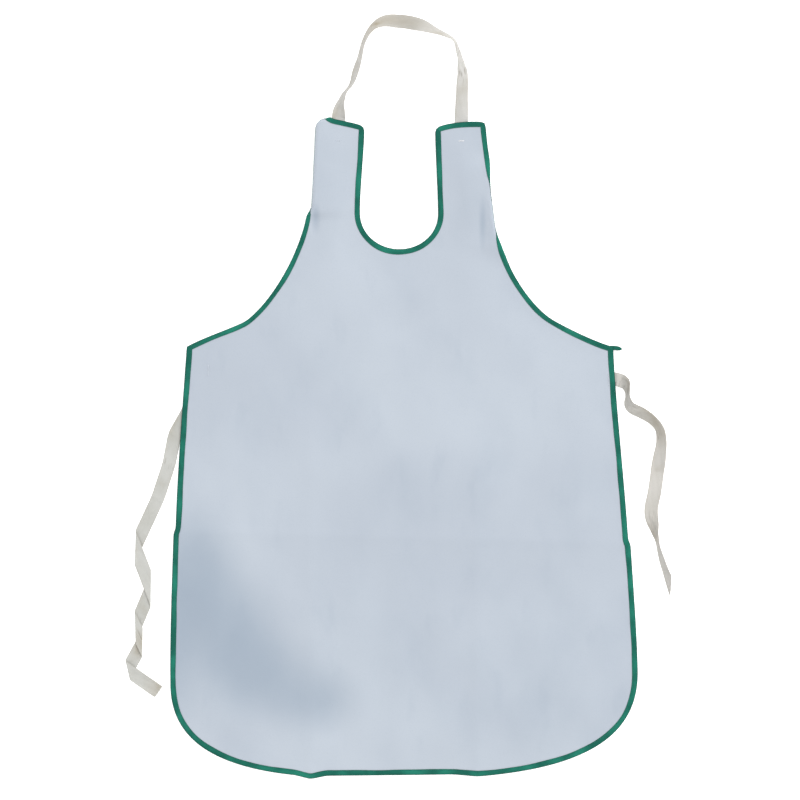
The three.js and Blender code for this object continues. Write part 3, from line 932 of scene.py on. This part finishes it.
def webbing_rows(length, folds, end_slant):
    """The rows of a strap's mesh: where each crosses the middle, and how much it slants. Rows run along the
    folds, and are close together there."""
    rows = [np.arange(0, length, 2.5 * MM), [length]]
    straight_to = LEFT_TIE_BENDS[-1][0] + 12 * MM if folds else length - 2 * WEB
    knots, slants = [0, straight_to], [0, 0]
    for start, angle in folds:
        zone = 6 * MM
        rows.append(np.arange(start - zone, start + zone, 0.5 * MM))
        knots += [start - zone, start + zone]
        slants += [1 / math.tan(math.radians(angle))] * 2
    rows = np.unique(np.round(np.concatenate(rows), 5))
    return rows, np.interp(rows, knots + [length], slants + [end_slant])


def webbing(name, length, place, folds, end_slant, frayed):
    """A strap, with its selvedges and its frayed cut ends."""
    rows, slants = webbing_rows(length, folds, end_slant)
    columns = np.linspace(-1, 1, WEB_COLUMNS) * WEB / 2
    u = rows[:, None] + slants[:, None] * columns[None]
    v = np.broadcast_to(columns[None], u.shape)
    draw = np.random.default_rng(len(name) * 7)
    ragged = draw.uniform(-1, 1, (2, len(columns))) * 0.5 * MM
    u[0] += ragged[0]
    u[-1] += ragged[1] - 2.2 * MM * (2 * columns / WEB) ** 6
    half = STRAP_THICK / 2 * (1 - 0.35 * (np.abs(v) > WEB / 2 * 0.99))
    lower = place(u.ravel(), v.ravel(), -half.ravel()).reshape(*u.shape, 3)
    upper = place(u.ravel(), v.ravel(), half.ravel()).reshape(*u.shape, 3)
    bodies = [slab(lower, upper, paired(u, v))]
    if frayed:
        for v_start in np.linspace(-0.92, 0.92, FRAYED_YARNS) * WEB / 2:
            reach = draw.uniform(1.5, 5) * MM
            drift = draw.uniform(-1, 1) * 0.9 * MM
            t = np.linspace(0, 1, 6)
            u_path = length + end_slant * v_start - 3 * MM + t * (reach + 3 * MM)
            v_path = np.clip(v_start + drift * t**2, -WEB / 2, WEB / 2)
            height = 0 * t + draw.uniform(-0.15, 0.2) * MM
            bodies.append(thread(place(u_path, v_path, height), YARN_RADIUS))
    return add_piece(name, combine(bodies))


def middle_line(length, place, end_slant):
    """The middle of a strap. At a slanted end it keeps to the middle of the width that is left."""
    reach = end_slant * WEB / 2
    u = np.linspace(0, length + reach / 2, round(length / (3 * MM)) + 1)
    v = np.maximum(u - length + reach, 0) * (0.5 / end_slant if end_slant else 0)
    return place(u, v, 0 * u)


# ------------------------ materials

def paint(red, green, blue):
    """A colour as it should look in the picture, from 0 to 255, as the surface's own colour."""
    parts = [part / 255 for part in (red, green, blue)]
    linear = [part / 12.92 if part <= 0.04045 else ((part + 0.055) / 1.055) ** 2.4 for part in parts]
    return (*[part / EXPOSURE for part in linear], 1)


class Finish:
    """A material whose patterns are in the piece's flat places, in metres."""

    def __init__(self, name, roughness, specular, sheen=0.0):
        self.material = bpy.data.materials.new(name)
        self.material.use_nodes = True
        self.nodes = self.material.node_tree.nodes
        self.links = self.material.node_tree.links
        self.shader = self.nodes["Principled BSDF"]
        self.shader.inputs["Roughness"].default_value = roughness
        self.shader.inputs["Specular IOR Level"].default_value = specular
        self.shader.inputs["Sheen Weight"].default_value = sheen
        self.shader.inputs["Sheen Roughness"].default_value = 0.6
        place = self.nodes.new("ShaderNodeUVMap")
        place.uv_map = "Flat"
        self.flat = place.outputs["UV"]
        split = self.nodes.new("ShaderNodeSeparateXYZ")
        self.links.new(self.flat, split.inputs[0])
        self.u, self.v = split.outputs["X"], split.outputs["Y"]

    def put(self, socket, value):
        if isinstance(value, bpy.types.NodeSocket):
            self.links.new(value, socket)
        else:
            socket.default_value = value

    def math(self, operation, *values):
        node = self.nodes.new("ShaderNodeMath")
        node.operation = operation
        for socket, value in zip(node.inputs, values):
            self.put(socket, value)
        return node.outputs[0]

    def noise(self, scale, detail=3, stretch=(1, 1)):
        """Noise from 0 to 1, with about this many bumps in a metre, stretched along U and V."""
        mapping = self.nodes.new("ShaderNodeMapping")
        mapping.inputs["Scale"].default_value = (1 / stretch[0], 1 / stretch[1], 1)
        self.links.new(self.flat, mapping.inputs["Vector"])
        node = self.nodes.new("ShaderNodeTexNoise")
        node.inputs["Scale"].default_value = scale
        node.inputs["Detail"].default_value = detail
        self.links.new(mapping.outputs[0], node.inputs["Vector"])
        return node.outputs[0]

    def stripes(self, value, pitch):
        """Rounded stripes from 0 to 1, a pitch apart."""
        turns = self.math("MULTIPLY", value, 2 * math.pi / pitch)
        return self.math("MULTIPLY_ADD", self.math("SINE", turns), 0.5, 0.5)

    def mapped(self, kind, *values):
        """A value, from one low and high to another low and high."""
        node = self.nodes.new("ShaderNodeMapRange")
        node.interpolation_type = kind
        for socket, value in zip(node.inputs, values):
            self.put(socket, value)
        return node.outputs[0]

    def spread(self, value, low, high):
        """A value's stretch from low to high, as 0 to 1 with soft ends."""
        return self.mapped("SMOOTHSTEP", value, low, high, 0.0, 1.0)

    def patch(self, u, v, half_u, half_v):
        """1 in the middle of an oval patch, and 0 outside it."""
        across = self.math("MULTIPLY", self.math("SUBTRACT", self.u, u), 1 / half_u)
        down = self.math("MULTIPLY", self.math("SUBTRACT", self.v, v), 1 / half_v)
        far = self.math("SQRT", self.math("MULTIPLY_ADD", across, across, self.math("MULTIPLY", down, down)))
        return self.spread(far, 1.0, 0.0)

    def blend(self, share, first, second):
        node = self.nodes.new("ShaderNodeMix")
        node.data_type = "RGBA"
        self.put(node.inputs[0], share)
        self.put(node.inputs[6], first)
        self.put(node.inputs[7], second)
        return node.outputs[2]

    def tint(self, base, where, amount, colour):
        """A colour over the base, as strong as an amount where the pattern is 1."""
        return self.blend(self.math("MULTIPLY", where, amount), base, colour)

    def colour(self, value):
        self.links.new(value, self.shader.inputs["Base Color"])

    def bump(self, height, distance, under=None):
        """Relief of this distance, on top of another relief."""
        node = self.nodes.new("ShaderNodeBump")
        node.inputs["Strength"].default_value = 1
        node.inputs["Distance"].default_value = distance
        self.links.new(height, node.inputs["Height"])
        if under:
            self.links.new(under, node.inputs["Normal"])
        self.links.new(node.outputs[0], self.shader.inputs["Normal"])
        return node.outputs[0]

    def rough(self, value, low, high):
        self.links.new(self.mapped("LINEAR", value, 0.0, 1.0, low, high), self.shader.inputs["Roughness"])


def coated_cloth(name, shade_patches):
    """Coated cloth: a fine plain weave under a matt coating, faintly mottled, with painted shade in darker
    patches.
    """
    finish = Finish(name, 0.62, 0.25, 0.05)
    light, dull, mottle_and_shade = [paint(*colour) for colour in COVER_LOOKS[name]]
    mottle = finish.noise(3.2, 3)
    clouds = finish.noise(11, 4, (1, 1.7))
    grain = finish.noise(520, 2)
    weave = finish.math("MULTIPLY", finish.stripes(finish.u, 0.9 * MM), finish.stripes(finish.v, 0.9 * MM))
    base = finish.blend(finish.spread(mottle, 0.34, 0.66), light, dull)
    base = finish.tint(base, finish.spread(clouds, 0.42, 0.75), 0.16, mottle_and_shade)
    marks = finish.spread(finish.noise(26, 4, (1, 2.6)), 0.56, 0.74)
    base = finish.tint(base, marks, 0.13, mottle_and_shade)
    # Painted shade in darker patches, made ragged by the clouds, in the darker colour of the mottling.
    ragged = finish.math("MULTIPLY_ADD", clouds, 0.9, 0.55)
    for u, v, half_u, half_v, share in shade_patches:
        patch = finish.math("MULTIPLY", finish.patch(u, v, half_u, half_v), share)
        base = finish.tint(base, patch, ragged, mottle_and_shade)
    finish.colour(finish.tint(base, finish.spread(grain, 0.50, 0.85), 0.22, mottle_and_shade))
    relief = finish.bump(weave, 0.06 * MM)
    finish.bump(finish.noise(60, 4), 0.25 * MM, relief)
    finish.rough(grain, 0.55, 0.72)
    return finish.material


def green_tape():
    """Cotton tape with fine ribs across it, with painted shade towards its fold and its woven edges, and
    between its ribs.
    """
    finish = Finish("green_tape", 0.85, 0.08)
    fold = 9.3 * MM
    # Painted shade where the tape turns over at its fold, and at its edges, where it steps down onto the
    # cloth.
    off_fold = finish.math("ABSOLUTE", finish.math("SUBTRACT", finish.v, fold))
    inner = finish.spread(off_fold, 0.6 * MM, 3.0 * MM)
    outer = finish.spread(off_fold, 9.6 * MM, 8.7 * MM)
    unshaded_middle = finish.math("MULTIPLY", inner, outer)
    ribs = finish.stripes(finish.u, 0.95 * MM)
    worn = finish.spread(finish.noise(24, 3, (1, 0.6)), 0.35, 0.70)
    shaded_colour, deep, bright = paint(16, 76, 66), paint(32, 112, 96), paint(48, 150, 127)
    middle = finish.blend(worn, deep, bright)
    base = finish.blend(unshaded_middle, shaded_colour, middle)
    # Painted shade in the grooves between the ribs.
    base = finish.tint(base, finish.math("SUBTRACT", 1.0, ribs), 0.30, shaded_colour)
    fluff = finish.spread(finish.noise(900, 2), 0.55, 0.8)
    finish.colour(finish.tint(base, fluff, 0.2, paint(60, 170, 140)))
    relief = finish.bump(ribs, 0.22 * MM)
    finish.bump(finish.noise(1200, 2), 0.08 * MM, relief)
    finish.rough(worn, 0.72, 0.88)
    return finish.material


def sewing_thread(name, light, shaded_colour):
    """Thread of two plies, twisted, with painted shade in the grooves of its twist."""
    finish = Finish(name, 0.6, 0.25)
    twist = finish.stripes(finish.math("ADD", finish.u, finish.v), 0.55 * MM)
    # Painted shade in the grooves of the twist.
    finish.colour(finish.blend(twist, shaded_colour, light))
    finish.bump(twist, 0.06 * MM)
    finish.rough(finish.noise(300, 2), 0.45, 0.65)
    return finish.material


def lead_rubber():
    """Dark rubber sheet, slightly mottled, with the fine grain of its rolling."""
    finish = Finish("lead_rubber", 0.6, 0.4)
    mottle = finish.noise(18, 4)
    finish.colour(finish.blend(mottle, paint(72, 74, 78), paint(96, 99, 103)))
    relief = finish.bump(finish.noise(700, 3, (3, 1)), 0.05 * MM)
    finish.bump(mottle, 0.1 * MM, relief)
    finish.rough(mottle, 0.5, 0.7)
    return finish.material


def cotton_webbing(strap):
    """Unbleached cotton in a herringbone weave: lines that slant one way and then the other across it, with
    painted shade in the hollows of the weave. It is browner in places, partly stains and partly painted
    shade, and has painted shade in the wrinkles at its creased ones."""
    finish = Finish(strap + "_cotton", 0.88, 0.10, 0.1)
    fresh, aged, stain_and_shade_spots, creased = STRAP_LOOKS[strap]
    tan, crease_shade = paint(186, 174, 150), paint(132, 120, 100)
    zigzag = finish.math("PINGPONG", finish.math("ADD", finish.v, WEB / 2), 2.5 * MM)
    slant = finish.math("ADD", finish.u, finish.math("MULTIPLY", zigzag, 1.15))
    lines = finish.stripes(slant, 1.3 * MM)
    yarns = finish.stripes(finish.v, 0.62 * MM)
    weave = finish.math("MULTIPLY", lines, finish.math("MULTIPLY_ADD", yarns, 0.45, 0.55))
    age = finish.spread(finish.noise(14, 3), 0.36, 0.68)
    handled = finish.spread(finish.noise(45, 4, (1.6, 1)), 0.50, 0.80)
    base = finish.blend(age, paint(*fresh), paint(*aged))
    base = finish.tint(base, handled, 0.35, tan)
    # Browner patches, partly stains and partly painted shade, and painted shade in the wrinkles at the
    # creases.
    stain_and_shade_amount = finish.math("ADD", handled, 0.6)
    wrinkle_shade = finish.spread(finish.noise(420, 2, (9, 1)), 0.53, 0.66)
    for spots, pattern, colour in ((stain_and_shade_spots, stain_and_shade_amount, tan), (creased, wrinkle_shade, crease_shade)):
        for u, half_u, share in spots:
            patch = finish.math("MULTIPLY", finish.patch(u, 0, half_u, WEB), share)
            base = finish.tint(base, patch, pattern, colour)
    edge = finish.spread(finish.math("ABSOLUTE", finish.v), WEB * 0.43, WEB * 0.5)
    base = finish.tint(base, edge, 0.30, tan)
    # Painted shade in the hollows of the weave.
    finish.colour(finish.tint(base, finish.math("SUBTRACT", 1.0, weave), 0.28, paint(164, 158, 144)))
    relief = finish.bump(weave, 0.28 * MM)
    finish.bump(finish.noise(1500, 2), 0.06 * MM, relief)
    finish.rough(handled, 0.82, 0.94)
    return finish.material


# ------------------------ the pieces

def finish_piece(piece, material, slot, *nodes):
    piece.data.materials.append(material)
    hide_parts(*nodes)
    return piece


def make_straps():
    straps = {
        "neck": (swept(NECK_ROUTE, 0.4, NECK_CRUMPLES), (), 0, "neck_strap",
                 ["left_neck_strap_end", "right_neck_strap_end"]),
        "left_tie": (left_tie(), LEFT_TIE_FOLDS, 0, "left_waist_tie", ["left_tie_strap_end"]),
        "right_tie": (swept(RIGHT_TIE_ROUTE, 2.1, RIGHT_TIE_CRUMPLES), (), RIGHT_TIE_SLANT,
                      "right_waist_tie", ["right_tie_strap_end"]),
    }
    for name, ((length, place), folds, slant, body, ends) in straps.items():
        is_loop = name == "neck"
        length -= abs(slant) * WEB / 2
        strap = webbing(name + "_webbing", length, place, folds, slant, not is_loop)
        finish_piece(strap, cotton_webbing(name), "cotton_webbing", body, *ends)
        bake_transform(strap)
        line = middle_line(length, place, slant)
        whole = float(distances(line)[-1])
        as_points(line)


def make_layers(tapes):
    front = coated_cloth("coated_cloth", PAINTED_SHADE)
    lining = coated_cloth("lining_cloth", [])
    rubber = lead_rubber()
    layers = [
        ("lining", lining, "lining_cloth", COVER_INSET, BACK, "back_cover"),
        ("rear_rubber_sheet", rubber, "lead_rubber", PLY_INSET, REAR_PLY, "rear_lead_ply"),
        ("front_rubber_sheet", rubber, "lead_rubber", PLY_INSET, FRONT_PLY, "front_lead_ply"),
        ("front_cloth", front, "front_cloth", COVER_INSET, FRONT, "front_cover"),
    ]
    for name, material, slot, inset, (low, high), node in layers:
        sheet = add_piece(name, cloth_layer(inset, low.z + SKIN, high.z - SKIN))
        finish_piece(sheet, material, slot, node)
        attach(sheet, "apron")


def make_edges():
    tape_finish = green_tape()
    green = sewing_thread("green_thread", paint(52, 152, 128), paint(24, 98, 84))
    tapes = []
    for name, edge in EDGES.items():
        body = tape(edge, TAPE_SHOWS[name])
        if name == "right_armhole":
            body = combine([body, tape_tail()])
        binding = add_piece(name + "_tape", body)
        finish_piece(binding, tape_finish, "green_tape", name + "_binding")
        tapes.append(binding)
        for face, side in (("front", 1), ("back", -1)):
            row = add_piece(f"{name}_{face}_stitches", stitches(edge, TAPE_SHOWS[name], side))
            finish_piece(row, green, "green_thread", f"{name}_{face}_thread")
            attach(row, "apron")
        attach(binding, "apron")
    return tapes


def make_tacks():
    white = sewing_thread("white_thread", (0.70, 0.71, 0.72, 1), (0.60, 0.61, 0.63, 1))
    pale = sewing_thread("pale_thread", (0.50, 0.54, 0.59, 1), (0.44, 0.48, 0.54, 1))
    for name, (x, y, length, across) in TACKS.items():
        bar = add_piece(name + "_bar_tack", bar_tack(x, y, length, across))
        finish_piece(bar, white if name == "right_neck" else pale, "white_thread", name + "_tack")
        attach(bar, "apron")


make_studio()
make_straps()
make_layers(make_edges())
make_tacks()
